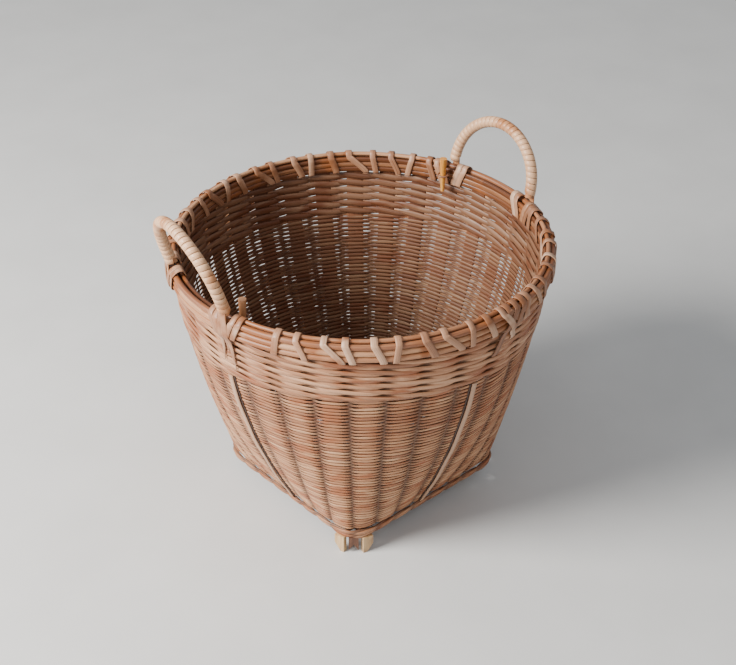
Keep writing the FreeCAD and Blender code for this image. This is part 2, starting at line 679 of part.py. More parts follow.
def gusset(name, angle, inset):
    """Small woven plate between a corner's two feet, cut to an upside-down V below."""
    body = new_body(name)
    face = new_sketch(body, "XZ_Plane", name + "_face")
    face.setExpression("AttachmentOffset.Base.z", "Sizes.clearance")
    half = "Sizes.gusset_width / 2"
    outline(face, [(half, "Sizes.gusset_tip_height"), (half, FANG_TOP_RULE),
                   ("-" + half, FANG_TOP_RULE), ("-" + half, "Sizes.gusset_tip_height"),
                   ("0", "Sizes.gusset_tip_height + Sizes.gusset_notch")])
    pad(body, face, "Sizes.gusset_thickness", name + "_pad")
    body.Placement = FreeCAD.Placement(inset, FreeCAD.Rotation()).multiply(
        facing_outwards(angle, WALL_FOOT, 0.0))


FANG_STEP = math.degrees(size("fang_from_corner") / size("foot_corner_radius"))
for corner, place in enumerate(("back_right", "back_left", "front_left", "front_right")):
    corner_angle = 45.0 + 90.0 * corner
    # one corner's feet stand out at the corner, and the others are set in under the base
    inwards = FreeCAD.Vector(-math.cos(math.radians(corner_angle)),
                             -math.sin(math.radians(corner_angle)), 0)
    inset = inwards * (0.0 if place == "front_left" else size("hidden_foot_inset"))
    fang(f"foot_peg_{place}_1", corner_angle - FANG_STEP, 1, inset)
    fang(f"foot_peg_{place}_2", corner_angle + FANG_STEP, -1, inset)
    gusset(f"foot_gusset_{place}", corner_angle, inset)


# ---------------------------------------------------------------- checks and files
doc.recompute()
INSIDE_BODIES = {item for body in doc.findObjects("PartDesign::Body")
                 for item in body.OutListRecursive}
for item in doc.Objects:
    if "Invalid" in item.State or "Error" in item.State:
        raise RuntimeError(f"{item.Name} failed: {item.State}")
pieces = [item for item in doc.Objects
          if hasattr(item, "Shape") and item not in INSIDE_BODIES]
if len(pieces) > MOST_FILES:
    raise RuntimeError(f"{len(pieces)} pieces are more than {MOST_FILES} files")
for piece in pieces:
    shape = piece.Shape
    if shape.isNull() or not shape.isValid() or not shape.Solids:
        raise RuntimeError(f"{piece.Label} has no valid solid")
for piece in pieces:
    piece.Shape.exportStep(f"parts/{piece.Label}.step")
print(len(pieces), "pieces written")
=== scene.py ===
# Looks of the woven wicker basket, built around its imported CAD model.
# Sizes below are in millimetres; the CAD frame and the meshes are in metres.
import bpy
import bmesh
import math
import random
import numpy as np
from mathutils import Euler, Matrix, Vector


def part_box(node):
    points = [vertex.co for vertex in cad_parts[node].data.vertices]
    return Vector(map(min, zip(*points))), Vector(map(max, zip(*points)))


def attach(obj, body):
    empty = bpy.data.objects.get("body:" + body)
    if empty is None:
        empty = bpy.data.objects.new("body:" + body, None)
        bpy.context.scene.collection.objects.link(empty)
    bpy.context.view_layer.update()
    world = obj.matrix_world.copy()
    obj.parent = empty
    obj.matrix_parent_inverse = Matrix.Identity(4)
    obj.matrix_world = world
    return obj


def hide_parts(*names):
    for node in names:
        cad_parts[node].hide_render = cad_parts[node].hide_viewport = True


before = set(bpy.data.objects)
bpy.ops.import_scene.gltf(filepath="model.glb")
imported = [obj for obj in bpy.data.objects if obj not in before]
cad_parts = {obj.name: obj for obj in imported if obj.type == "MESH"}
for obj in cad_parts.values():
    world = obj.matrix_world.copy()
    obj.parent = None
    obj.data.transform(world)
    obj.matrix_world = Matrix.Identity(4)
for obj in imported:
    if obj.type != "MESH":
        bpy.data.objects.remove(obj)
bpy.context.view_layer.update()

MM = 0.001
UP = np.array([0.0, 0.0, 1.0])

# ---------------------------------------------------------------- camera and light
CAMERA_PLACE = (-0.8914, -1.0072, 1.0597)
CAMERA_TILT = 56.68
CAMERA_TURN = -41.8
CAMERA_LENS = 77.43

camera = bpy.data.objects.new("camera", bpy.data.cameras.new("camera"))
bpy.context.collection.objects.link(camera)
camera.location = CAMERA_PLACE
camera.rotation_euler = Euler((math.radians(CAMERA_TILT), 0.0, math.radians(CAMERA_TURN)))
camera.data.lens = CAMERA_LENS
bpy.context.scene.camera = camera


def soft_light(name, place, size, power, tint):
    light = bpy.data.lights.new(name, "AREA")
    light.shape = "DISK"
    light.size = size
    light.energy = power
    light.color = tint
    lamp = bpy.data.objects.new(name, light)
    bpy.context.collection.objects.link(lamp)
    lamp.location = place
    lamp.rotation_euler = (-Vector(place)).to_track_quat("-Z", "Y").to_euler()


soft_light("key_light", place=(-1.70, 0.55, 1.35), size=1.1, power=124.0,
           tint=(1.0, 0.97, 0.93))
soft_light("fill_light", place=(-1.3, -1.7, 1.3), size=1.6, power=9.0, tint=(1.0, 0.98, 0.96))

SKY_COLOUR, SKY_STRENGTH = (0.93, 0.96, 1.0, 1.0), 0.48
world = bpy.data.worlds.new("studio")
world.use_nodes = True
world.node_tree.nodes["Background"].inputs["Color"].default_value = SKY_COLOUR
world.node_tree.nodes["Background"].inputs["Strength"].default_value = SKY_STRENGTH
bpy.context.scene.world = world


# ---------------------------------------------------------------- finishes
def finish_nodes(name):
    """A new material, with its nodes and links."""
    material = bpy.data.materials.new(name)
    material.use_nodes = True
    return material, material.node_tree.nodes, material.node_tree.links


def vector_math(nodes, links, operation, first, second):
    node = nodes.new("ShaderNodeVectorMath")
    node.operation = operation
    for socket, value in zip(node.inputs, (first, second)):
        if isinstance(value, bpy.types.NodeSocket):
            links.new(value, socket)
        else:
            socket.default_value = value
    return node.outputs[0]


def ramp(nodes, links, factor, stops):
    """Colours along a factor; stops are (place, colour)."""
    node = nodes.new("ShaderNodeValToRGB")
    links.new(factor, node.inputs["Fac"])
    while len(node.color_ramp.elements) < len(stops):
        node.color_ramp.elements.new(0.5)
    for element, (place, colour) in zip(node.color_ramp.elements, stops):
        element.position = place
        element.color = (*colour, 1.0)
    return node.outputs["Color"]


def mixed(nodes, links, factor, first, second):
    """A colour between two, each of them a socket or a colour."""
    node = nodes.new("ShaderNodeMix")
    node.data_type = "RGBA"
    for socket, value in ((node.inputs["Factor"], factor), (node.inputs["A"], first),
                          (node.inputs["B"], second)):
        if isinstance(value, bpy.types.NodeSocket):
            links.new(value, socket)
        else:
            socket.default_value = (*value, 1.0)
    return node.outputs["Result"]


def noise(nodes, links, place, scale, detail, roughness=0.55):
    node = nodes.new("ShaderNodeTexNoise")
    links.new(place, node.inputs["Vector"])
    node.inputs["Scale"].default_value = scale
    node.inputs["Detail"].default_value = detail
    node.inputs["Roughness"].default_value = roughness
    return node.outputs["Fac"]


def sum_of(nodes, links, first, second, first_share):
    """Mean of two values, with first_share of the first."""
    node = nodes.new("ShaderNodeMix")
    links.new(first, node.inputs["B"])
    links.new(second, node.inputs["A"])
    node.inputs["Factor"].default_value = first_share
    return node.outputs["Result"]


RELIEF_DEPTH = 0.0004


def cane_finish(name, tones, stain, stain_from, speck_and_shade, shade_share, roughness, bump,
                along=(9.0, 9.0, 9.0), across=0.9, specks=0.35, inner_shade_share=0.0,
                fibre_share=0.62, patch=(30.0, 30.0, 24.0)):
    """Split cane: fibres along the strip, a tone for each strand, stains and painted shade where
    strands sink.

    The strands carry "grain": place across the strip in mm, a number of their own and how
    far they stand proud of the weave, which sets how much painted shade they get.
    """
    material, nodes, links = finish_nodes(name)
    place = nodes.new("ShaderNodeTexCoord").outputs["Object"]
    grain = nodes.new("ShaderNodeAttribute")
    grain.attribute_name = "grain"
    parts = nodes.new("ShaderNodeSeparateXYZ")
    links.new(grain.outputs["Vector"], parts.inputs["Vector"])
    own = nodes.new("ShaderNodeCombineXYZ")
    for socket in ("X", "Y", "Z"):
        links.new(parts.outputs["Y"], own.inputs[socket])
    across_strip = nodes.new("ShaderNodeCombineXYZ")
    links.new(parts.outputs["X"], across_strip.inputs["Z"])
    own_shift = vector_math(nodes, links, "MULTIPLY", own.outputs["Vector"], (37.0, 61.0, 83.0))
    fibre_shift = vector_math(nodes, links, "MULTIPLY", across_strip.outputs["Vector"],
                              (across, across, across))
    low = vector_math(nodes, links, "MULTIPLY", place, along)
    fibre_place = vector_math(nodes, links, "ADD",
                              vector_math(nodes, links, "ADD", low, fibre_shift), own_shift)
    fibres = noise(nodes, links, fibre_place, 1.6, 4.0, 0.65)
    patch_place = vector_math(nodes, links, "MULTIPLY", place, patch)
    patches = noise(nodes, links, patch_place, 1.0, 3.0)
    fine = noise(nodes, links, place, 900.0, 2.0)
    tone = sum_of(nodes, links, fibres, parts.outputs["Y"], fibre_share)
    colour = ramp(nodes, links, tone, tones)
    stained = ramp(nodes, links, patches, [(stain_from, (0.0, 0.0, 0.0)),
                                           (stain_from + 0.13, (1.0, 1.0, 1.0))])
    colour = mixed(nodes, links, stained, colour, stain)
    speck_share = ramp(nodes, links, fine, [(0.58, (0.0, 0.0, 0.0)),
                                            (0.8, (specks, specks, specks))])
    colour = mixed(nodes, links, speck_share, colour, speck_and_shade)
    # painted shade in the sunk crossings; on the inside partly painted shade, partly a darker own
    # tone
    painted_sunk_shade = ramp(nodes, links, parts.outputs["Z"], [(0.1, (inner_shade_share,) * 3),
                                                   (0.45, (shade_share,) * 3),
                                                   (0.92, (0.0, 0.0, 0.0))])
    colour = mixed(nodes, links, painted_sunk_shade, colour, speck_and_shade)
    surface = nodes["Principled BSDF"]
    links.new(colour, surface.inputs["Base Color"])
    rough = ramp(nodes, links, fibres, [(0.3, (roughness - 0.1,) * 3),
                                        (0.7, (roughness + 0.12,) * 3)])
    links.new(rough, surface.inputs["Roughness"])
    relief = nodes.new("ShaderNodeBump")
    relief.inputs["Strength"].default_value = bump
    relief.inputs["Distance"].default_value = RELIEF_DEPTH
    links.new(fibres, relief.inputs["Height"])
    links.new(relief.outputs["Normal"], surface.inputs["Normal"])
    return material


# DARK colours specks and is also the painted shade of sunk strands in the weave, wale and ribs;
# BROWN colours specks only
BROWN, DARK = (0.13, 0.045, 0.018), (0.03, 0.010, 0.005)
UPRIGHT_FIBRES = (260.0, 260.0, 14.0)

WEAVE = cane_finish(
    "split_cane_weave",
    [(0.30, (0.22, 0.075, 0.03)), (0.43, (0.38, 0.165, 0.075)), (0.55, (0.47, 0.235, 0.115)),
     (0.75, (0.60, 0.355, 0.20))],
    stain=(0.33, 0.11, 0.04), stain_from=0.51, speck_and_shade=DARK, shade_share=0.76, roughness=0.55,
    bump=0.35, inner_shade_share=0.6, fibre_share=0.7, patch=(24.0, 24.0, 85.0))
WALE = cane_finish(
    "wale_strands",
    [(0.30, (0.22, 0.08, 0.033)), (0.45, (0.40, 0.185, 0.09)), (0.58, (0.49, 0.255, 0.137)),
     (0.75, (0.62, 0.38, 0.235))],
    stain=(0.28, 0.09, 0.032), stain_from=0.50, speck_and_shade=DARK, shade_share=0.66, roughness=0.5,
    bump=0.3, inner_shade_share=0.6, fibre_share=0.65, patch=(20.0, 20.0, 80.0))
STAKE = cane_finish(
    "bamboo_strip",
    [(0.25, (0.075, 0.024, 0.011)), (0.5, (0.15, 0.052, 0.023)), (0.8, (0.26, 0.105, 0.05))],
    stain=(0.24, 0.08, 0.028), stain_from=0.58, speck_and_shade=DARK, shade_share=0.0, roughness=0.42,
    bump=0.25)
RIM = cane_finish(
    "rim_canes",
    [(0.28, (0.20, 0.07, 0.03)), (0.45, (0.38, 0.165, 0.075)), (0.6, (0.49, 0.26, 0.135)),
     (0.8, (0.62, 0.40, 0.25))],
    stain=(0.27, 0.09, 0.028), stain_from=0.48, speck_and_shade=BROWN, shade_share=0.0, roughness=0.45,
    bump=0.3)
HOOP = cane_finish(
    "inner_bamboo",
    [(0.28, (0.07, 0.022, 0.009)), (0.5, (0.17, 0.06, 0.023)), (0.75, (0.40, 0.19, 0.09))],
    stain=(0.26, 0.085, 0.026), stain_from=0.52, speck_and_shade=DARK, shade_share=0.0, roughness=0.36,
    bump=0.25)
LASH = cane_finish(
    "lashing_cane",
    [(0.28, (0.20, 0.08, 0.038)), (0.45, (0.38, 0.19, 0.105)), (0.6, (0.46, 0.265, 0.16)),
     (0.78, (0.61, 0.41, 0.285))],
    stain=(0.26, 0.10, 0.04), stain_from=0.51, speck_and_shade=BROWN, shade_share=0.0, roughness=0.42,
    bump=0.3)
WRAP = cane_finish(
    "handle_wrap_cane",
    [(0.3, (0.46, 0.215, 0.10)), (0.5, (0.66, 0.385, 0.215)), (0.7, (0.80, 0.53, 0.34))],
    stain=(0.46, 0.19, 0.075), stain_from=0.54, speck_and_shade=BROWN, shade_share=0.35, roughness=0.4,
    bump=0.3)
# the rib's high shade shares paint the dark shadow strip laid beside each rib
RIB = cane_finish(
    "rib_strip",
    [(0.3, (0.30, 0.14, 0.075)), (0.5, (0.44, 0.255, 0.155)), (0.75, (0.56, 0.38, 0.26))],
    stain=(0.28, 0.12, 0.055), stain_from=0.6, speck_and_shade=DARK, shade_share=0.9, roughness=0.5,
    bump=0.35, inner_shade_share=0.95)
PEG = cane_finish(
    "peg_bamboo",
    [(0.3, (0.48, 0.17, 0.02)), (0.55, (0.66, 0.29, 0.05)), (0.85, (0.78, 0.45, 0.15))],
    stain=(0.80, 0.58, 0.32), stain_from=0.66, speck_and_shade=BROWN, shade_share=0.0, roughness=0.28,
    bump=0.2, along=UPRIGHT_FIBRES, fibre_share=1.0)
FOOT = cane_finish(
    "foot_bamboo",
    [(0.25, (0.40, 0.22, 0.09)), (0.5, (0.58, 0.38, 0.19)), (0.8, (0.70, 0.52, 0.31))],
    stain=(0.22, 0.10, 0.05), stain_from=0.6, speck_and_shade=DARK, shade_share=0.0, roughness=0.45,
    bump=0.4, along=UPRIGHT_FIBRES, fibre_share=1.0)
GUSSET = cane_finish(
    "woven_gusset",
    [(0.25, (0.05, 0.02, 0.01)), (0.5, (0.10, 0.04, 0.02)), (0.8, (0.20, 0.09, 0.05))],
    stain=(0.04, 0.015, 0.008), stain_from=0.6, speck_and_shade=DARK, shade_share=0.2, roughness=0.5,
    bump=0.4, along=UPRIGHT_FIBRES, fibre_share=1.0)


# ---------------------------------------------------------------- the wall's shape
def cad_box(name):
    """Lowest and highest corners of a CAD node, in millimetres."""
    low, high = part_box(name)
    return np.array(low) / MM, np.array(high) / MM


CLEARANCE, STAKE_HALF = 0.3, 0.7
weave_low, weave_high = cad_box("fine_weave")
hoop_low, hoop_high = cad_box("rim_inner_hoop")
WALL_FOOT, BAND_FOOT = weave_low[2] - CLEARANCE, weave_high[2] + CLEARANCE
HOOP_FOOT, HOOP_TOP = hoop_low[2], hoop_high[2]
MOUTH = hoop_high[0] + CLEARANCE + STAKE_HALF
FOOT_SIDE, FOOT_CORNER = 103.0, 134.0
SIDE_FLARE, CORNER_FLARE = 1.68, 1.21
STAKES_A_SIDE, STAKE_PITCH, STAKES = 8, 24.0, 32
STAKE_STEP = 360.0 / STAKES


def wall_radii(z):
    """Distance from the axis to the wall's middle surface at a side, and its squareness."""
    rise = 1.0 - np.clip((z - WALL_FOOT) / (HOOP_FOOT - WALL_FOOT), 0.0, 1.0)
    side = MOUTH - (MOUTH - FOOT_SIDE) * rise ** SIDE_FLARE
    corner = MOUTH - (MOUTH - FOOT_CORNER) * rise ** CORNER_FLARE
    return side, 1.0 / (0.5 - np.log2(corner / side))


def wall_point(angle, z):
    """Places on the wall's middle surface, which is a superellipse at each height."""
    side, power = wall_radii(z)
    bearing = np.radians(angle)
    spread = np.abs(np.cos(bearing)) ** power + np.abs(np.sin(bearing)) ** power
    radius = side / spread ** (1.0 / power)
    return np.stack([radius * np.cos(bearing), radius * np.sin(bearing), z + 0.0 * radius], -1)


def unit(vectors):
    return vectors / np.linalg.norm(vectors, axis=-1, keepdims=True)


def wall_frame(angle, z):
    """Directions along the wall, up its slope and out of it."""
    along = unit(wall_point(angle + 0.2, z) - wall_point(angle - 0.2, z))
    low = np.maximum(WALL_FOOT, z - 1.0)
    slope = unit(wall_point(angle, low + 2.0) - wall_point(angle, low))
    outward = unit(np.cross(along, slope))
    return along, np.cross(outward, along), outward


def foot_angle(offset):
    """Angle of a stake at the wall's foot, from the middle of its side."""
    side, power = wall_radii(WALL_FOOT)
    beside = offset * STAKE_PITCH
    ahead = side * (1.0 - (abs(beside) / side) ** power) ** (1.0 / power)
    return math.degrees(math.atan2(beside, ahead))


STAKE_OFFSETS = [number - (STAKES_A_SIDE - 1) / 2 for number in range(STAKES_A_SIDE)]


def stake_angle(side_angle, offset, z):
    """Angle of a stake, from even gaps along a side at the foot to even gaps at the rim."""
    share = np.clip((z - WALL_FOOT) / (HOOP_FOOT - WALL_FOOT), 0.0, 1.0)
    start = foot_angle(offset)
    return side_angle + start + (offset * STAKE_STEP - start) * share


def stake_bearings(z):
    """Polar angles of all the stakes at one height, with the first one again at the end."""
    bearings = [float(stake_angle(side, offset, z)) for side in (0.0, 90.0, 180.0, 270.0)
                for offset in STAKE_OFFSETS]
    return np.array(bearings + [bearings[0] + 360.0])


def ring_bearings(z, count_a_stake):
    """Places all round at one height: stake numbers, counted from the first, and angles."""
    stake_number = np.arange(STAKES * count_a_stake) / count_a_stake
    return stake_number, np.interp(stake_number, np.arange(STAKES + 1), stake_bearings(z))


# ---------------------------------------------------------------- pieces of cane
FULL_TURN = 6.28


def section(sides, squareness):
    """Outline of a strip's section, from -1 to 1: round at squareness 1, boxy near 0."""
    turn = 2.0 * np.pi * np.arange(sides) / sides
    across, through = np.cos(turn), np.sin(turn)
    return (np.sign(across) * np.abs(across) ** squareness,
            np.sign(through) * np.abs(through) ** squareness)


def new_work():
    work = bmesh.new()
    work.verts.layers.float_vector.new("grain")
    return work


def cane(work, centre, across, through, sides=8, squareness=0.6, ring=False, own=0.5,
         proud=1.0):
    """Lays a strip through centres, with its half width and half thickness vectors there."""
    count = len(centre) + (1 if ring else 0)
    out_across, out_through = section(sides, squareness)
    grid = bmesh.ops.create_grid(work, x_segments=sides, y_segments=count - 1, size=1.0)["verts"]
    grain = work.verts.layers.float_vector["grain"]
    width = np.linalg.norm(across, axis=-1)
    skin = (centre[:, None, :] + across[:, None, :] * out_across[None, :, None]
            + through[:, None, :] * out_through[None, :, None]) * MM
    own = np.broadcast_to(own, len(centre))
    proud = np.broadcast_to(proud, len(centre))
    for number, vert in enumerate(grid):
        station = (number // (sides + 1)) % len(centre)
        edge = (number % (sides + 1)) % sides
        vert.co = skin[station, edge]
        vert[grain] = (out_across[edge] * width[station], own[station], proud[station])


def laid_piece(work, name, finish, slot_name, *replaced):
    """Closes a work's strips, and makes them one piece in place of CAD nodes."""
    bmesh.ops.remove_doubles(work, verts=work.verts, dist=2e-6)
    ends = [edge for edge in work.edges if edge.is_boundary]
    for edge in ends:
        edge.smooth = False
    bmesh.ops.holes_fill(work, edges=ends, sides=0)
    bmesh.ops.recalc_face_normals(work, faces=work.faces)
    for face in work.faces:
        face.smooth = True
    mesh = bpy.data.meshes.new(name)
    work.to_mesh(mesh)
    work.free()
    mesh.materials.append(finish)
    piece = bpy.data.objects.new(name, mesh)
    bpy.context.collection.objects.link(piece)
    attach(piece, "root")
    if replaced:
        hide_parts(*replaced)


def wander(chance, bearing, size, waves):
    """Slow smooth wandering all round a ring."""
    total = np.zeros_like(bearing)
    for wave in waves:
        total += math.sin(chance.uniform(0.5, 1.5)) * np.sin(
            np.radians(bearing) * wave + chance.uniform(0.0, FULL_TURN))
    return total * size / math.sqrt(len(waves))


def rounded(path, times=2):
    """Cuts the corners of an open path."""
    path = np.asarray(path, float)
    for _ in range(times):
        near = path[:-1] * 0.75 + path[1:] * 0.25
        far = path[:-1] * 0.25 + path[1:] * 0.75
        path = np.concatenate([path[:1], np.stack([near, far], 1).reshape(-1, path.shape[1]),
                               path[-1:]])
    return path


# ---------------------------------------------------------------- fine weave
WEAVER_ROWS, WEAVER_POINTS, WEAVE_END_GAP = 92, 8, 0.4
WEAVER_REACH, WEAVER_HALF_THICK, WEAVER_TURN = 1.55, 0.52, 2.2
# half width of a weaver by its distance from a stake's middle, in gaps between stakes
WEAVER_FROM_STAKE, WEAVER_HALF = [0.0, 0.12, 0.28, 0.4, 0.5], [1.95, 1.88, 1.48, 1.32, 1.42]
WEAVER_WAVE, WEAVER_SWAY, WEAVER_BULGE, WEAVER_ROOM = 0.55, 0.28, 0.12, 12.0


def slope_levels(low, high, count):
    """Heights from low to high that are evenly spaced up the slope of the wall."""
    z = np.linspace(low, high, 400)
    side = wall_radii(z)[0]
    run = np.concatenate([[0.0], np.cumsum(np.hypot(np.diff(side), np.diff(z)))])
    return np.interp((np.arange(count) + 0.5) / count * run[-1], run, z)


weave_chance = random.Random(11)
weave_levels = slope_levels(WALL_FOOT + WEAVE_END_GAP, BAND_FOOT - WEAVE_END_GAP, WEAVER_ROWS)
shared_wave = [(weave_chance.uniform(0.0, FULL_TURN), wave) for wave in (2, 3, 5, 7)]


def weaver(work, row):
    """One row of fine cane, in front of every second stake and behind the others."""
    z_mid = float(weave_levels[row])
    number, angle = ring_bearings(z_mid, WEAVER_POINTS)
    side = np.cos(np.pi * number) * (1.0 if row % 2 else -1.0)
    offset = WEAVER_REACH * np.tanh(WEAVER_TURN * side) / math.tanh(WEAVER_TURN)
    from_stake = np.abs(number - np.round(number))
    half = np.interp(from_stake, WEAVER_FROM_STAKE, WEAVER_HALF)
    half = half * weave_chance.uniform(0.9, 1.08)
    # the first and last rows lie level against the courses beside them
    room = min(1.0, (z_mid - WALL_FOOT) / WEAVER_ROOM, (BAND_FOOT - z_mid) / WEAVER_ROOM)
    z = z_mid + room * sum(WEAVER_WAVE * np.sin(np.radians(angle) * wave + phase)
                           for phase, wave in shared_wave)
    z = z + room * wander(weave_chance, angle, WEAVER_SWAY, (9, 14, 23, 37))
    offset = offset + wander(weave_chance, angle, WEAVER_BULGE, (17, 29, 41))
    along, slope, outward = wall_frame(angle, z)
    # proud is how far each part stands out of the wall; it sets the painted shade in the crossings
    # and behind the stakes
    cane(work, wall_point(angle, z) + outward * offset[:, None], slope * half[:, None],
         outward * WEAVER_HALF_THICK, sides=6, squareness=0.7, ring=True,
         own=weave_chance.random(), proud=0.5 + 0.5 * np.sign(side) * np.abs(side) ** 0.7)


for part, rows in (("lower", range(WEAVER_ROWS // 2)),
                   ("upper", range(WEAVER_ROWS // 2, WEAVER_ROWS))):
    weave = new_work()
    for row in rows:
        weaver(weave, row)
    laid_piece(weave, f"fine_weave_{part}", WEAVE, "fine_cane", "fine_weave")

# ---------------------------------------------------------------- stakes
STAKE_HALF_FOOT, STAKE_HALF_MOUTH = 7.75, 8.75
STAKE_STATIONS, MAT_STATIONS, MAT_FADE = 44, 60, 9.0
STAKE_TOP = cad_box("stake_along_x_1")[1][2]
MAT_Z, MAT_WAVE, BEND_RUN = 24.15, 0.85, 6.0


def stake_wall(side_angle, offset, heights):
    """Middle, half width and half thickness of a stake up the wall."""
    angle = stake_angle(side_angle, offset, heights)
    along, slope, outward = wall_frame(angle, heights)
    share = np.clip((heights - WALL_FOOT) / (HOOP_FOOT - WALL_FOOT), 0.0, 1.0)
    half = STAKE_HALF_FOOT + (STAKE_HALF_MOUTH - STAKE_HALF_FOOT) * share
    return wall_point(angle, heights), along * half[:, None], outward * STAKE_HALF


def stake(work, offset, side_angle, parity, own):
    """One strip: down a wall, over and under across the base and up the opposite wall."""
    heights = np.linspace(STAKE_TOP, WALL_FOOT, STAKE_STATIONS)
    first = stake_wall(side_angle, offset, heights)
    second = stake_wall(side_angle + 180.0, -offset, heights)
    facing = np.array([round(math.cos(math.radians(side_angle))),
                       round(math.sin(math.radians(side_angle))), 0.0])
    beside = np.array([-facing[1], facing[0], 0.0])
    centres, across, through = [], [], []

    def bend(wall):
        """Turns a stake from the foot of the wall into the mat of the base."""
        foot, above = wall[0][-1], wall[0][-2]
        down = unit(foot - above)
        corner = foot + down * ((foot[2] - MAT_Z) / -down[2])
        turned = -np.sign(np.dot(foot, facing)) * facing
        end = corner + turned * BEND_RUN
        wide = wall[1][-1] * np.sign(np.dot(wall[1][-1], beside))
        points = []
        for share in (0.25, 0.5, 0.75, 1.0):
            point = foot * (1 - share) ** 2 + corner * 2 * share * (1 - share) + end * share ** 2
            heading = unit((corner - foot) * (1 - share) + (end - corner) * share)
            width = unit(wide * (1 - share) + beside * STAKE_HALF_FOOT * share)
            out = unit(np.cross(width, heading))
            if out[2] > 0.0:
                out = -out
            width = np.cross(out, heading)
            width = width * np.sign(np.dot(width, beside))
            points.append((point, width * STAKE_HALF_FOOT, out * STAKE_HALF))
        return points

    near, far = bend(first), bend(second)
    for point, wide, thick in zip(*first):
        centres.append(point)
        across.append(wide * np.sign(np.dot(wide, beside)))
        through.append(thick)
    for point, wide, thick in near:
        centres.append(point)
        across.append(wide)
        through.append(thick)
    start, finish = near[-1][0], far[-1][0]
    for share in np.linspace(0.03, 0.97, MAT_STATIONS):
        point = start * (1 - share) + finish * share
        crossing = np.dot(point, facing) / STAKE_PITCH + 0.5
        fade = min(1.0, MAT_FADE * min(share, 1 - share))
        point[2] = MAT_Z + parity * MAT_WAVE * fade * math.cos(math.pi * crossing)
        centres.append(point)
        across.append(beside * STAKE_HALF_FOOT)
        through.append(-UP * STAKE_HALF)
    for point, wide, thick in reversed(far):
        centres.append(point)
        across.append(wide)
        through.append(thick)
    for point, wide, thick in zip(*(part[::-1] for part in second)):
        centres.append(point)
        across.append(wide * np.sign(np.dot(wide, beside)))
        through.append(thick)
    cane(work, np.array(centres), np.array(across), np.array(through), sides=8,
         squareness=0.35, own=own)


stake_chance = random.Random(5)
for axis, side_angle in (("x", 0.0), ("y", 90.0)):
    for number, offset in enumerate(STAKE_OFFSETS, start=1):
        strip_work = new_work()
        parity = (-1.0) ** (number + (axis == "y"))
        stake(strip_work, offset, side_angle, parity, stake_chance.random())
        laid_piece(strip_work, f"bamboo_strip_{axis}_{number}", STAKE, "bamboo_stake",
                   f"stake_along_{axis}_{number}")

# ---------------------------------------------------------------- wale band
WALE_ROWS, LACE_ROOM, WALE_DROP = 6, 2.7, 0.15
WALE_STEP = (HOOP_FOOT - LACE_ROOM - BAND_FOOT) / WALE_ROWS
WALE_REACH, WALE_HALF_THICK, WALE_TURN = 2.15, 0.95, 1.9
WALE_POINTS, WALE_HALF_ROW, WALE_STACK, WALE_STRANDS = 10, 2.3, 1.8, 3
BASE_ROWS, BASE_Z, BASE_STEP = 2, 21.5, 5.3
wale_chance = random.Random(23)


def three_strand_wale(work, z_mid, chance):
    """One strand that goes round three times, over two stakes and behind the third."""
    number, angle = ring_bearings(z_mid, WALE_POINTS)
    sway = wander(chance, angle, 0.3, (4, 9, 15))
    count = len(number)
    number = np.concatenate([number + STAKES * turn for turn in range(WALE_STRANDS)])
    angle = np.tile(angle, WALE_STRANDS)
    phase = 2.0 * np.pi * number / WALE_STRANDS
    offset = WALE_REACH * np.tanh(WALE_TURN * (0.36 - np.cos(phase)))
    behind = np.clip(np.cos(phase), 0.0, 1.0)
    half = WALE_HALF_ROW * (1.0 + 0.5 * behind ** 2)
    own = np.repeat([chance.random() for turn in range(WALE_STRANDS)], count)
    z = z_mid + np.tile(sway, WALE_STRANDS) - WALE_STACK * np.sin(phase - np.pi)
    z = z + np.concatenate([wander(chance, angle[:count], 0.22, (7, 13, 22, 31))
                            for turn in range(WALE_STRANDS)])
    offset = offset + np.concatenate([wander(chance, angle[:count], 0.18, (9, 17, 26))
                                      for turn in range(WALE_STRANDS)])
    along, slope, outward = wall_frame(angle, z)
    # proud follows how far the strand stands out; it sets the painted shade where it passes behind
    # the stakes
    cane(work, wall_point(angle, z) + outward * offset[:, None], slope * half[:, None],
         outward * WALE_HALF_THICK, sides=8, squareness=0.6, ring=True, own=own,
         proud=0.5 + 0.5 * np.clip(offset / 1.6, -1.0, 1.0))


def twined_pair(work, z_mid, step, at_z, reach, middle, half_thick, rise, chance, turn=1.6):
    """Two strands that pass each other between the stakes, one in front and one behind."""
    number, angle = ring_bearings(at_z, WALE_POINTS)
    angle = angle + wander(chance, angle, 0.35, (3, 8, 13))
    z_shift = wander(chance, angle, 0.25, (4, 9, 15))
    for strand in (0, 1):
        phase = np.pi * (number + strand)
        full = np.abs(np.cos(phase))
        half = step * (0.30 + 0.19 * full ** 0.7)
        offset = middle + reach * np.tanh(turn * np.cos(phase)) / math.tanh(turn)
        z = z_mid + z_shift + rise * np.sin(phase) * (1.0 - 0.25 * full)
        z = z + wander(chance, angle, 0.12, (11, 19, 31))
        along, slope, outward = wall_frame(angle, np.full_like(angle, at_z))
        centre = wall_point(angle, np.full_like(angle, at_z)) + outward * offset[:, None]
        centre += slope * ((z - at_z) / slope[:, 2])[:, None]
        # proud sets the painted shade on the parts of each strand that pass behind the stakes
        cane(work, centre, slope * half[:, None], outward * half_thick, sides=10,
             squareness=0.7, ring=True, own=chance.random(),
             proud=0.55 + 0.45 * np.cos(phase))


for row in range(WALE_ROWS):
    wale_z = BAND_FOOT + (row + 0.5) * WALE_STEP - WALE_DROP
    wale = new_work()
    three_strand_wale(wale, wale_z, wale_chance)
    laid_piece(wale, f"wale_strands_{row + 1}", WALE, "wale_cane", f"wale_row_{row + 1}")

for row in range(BASE_ROWS):
    base_wale = new_work()
    twined_pair(base_wale, BASE_Z + BASE_STEP * row, BASE_STEP, at_z=WALL_FOOT, reach=0.9,
                middle=3.3, half_thick=1.15, rise=1.1, chance=wale_chance)
    laid_piece(base_wale, f"base_pair_{row + 1}", WALE, "wale_cane", f"base_wale_row_{row + 1}")

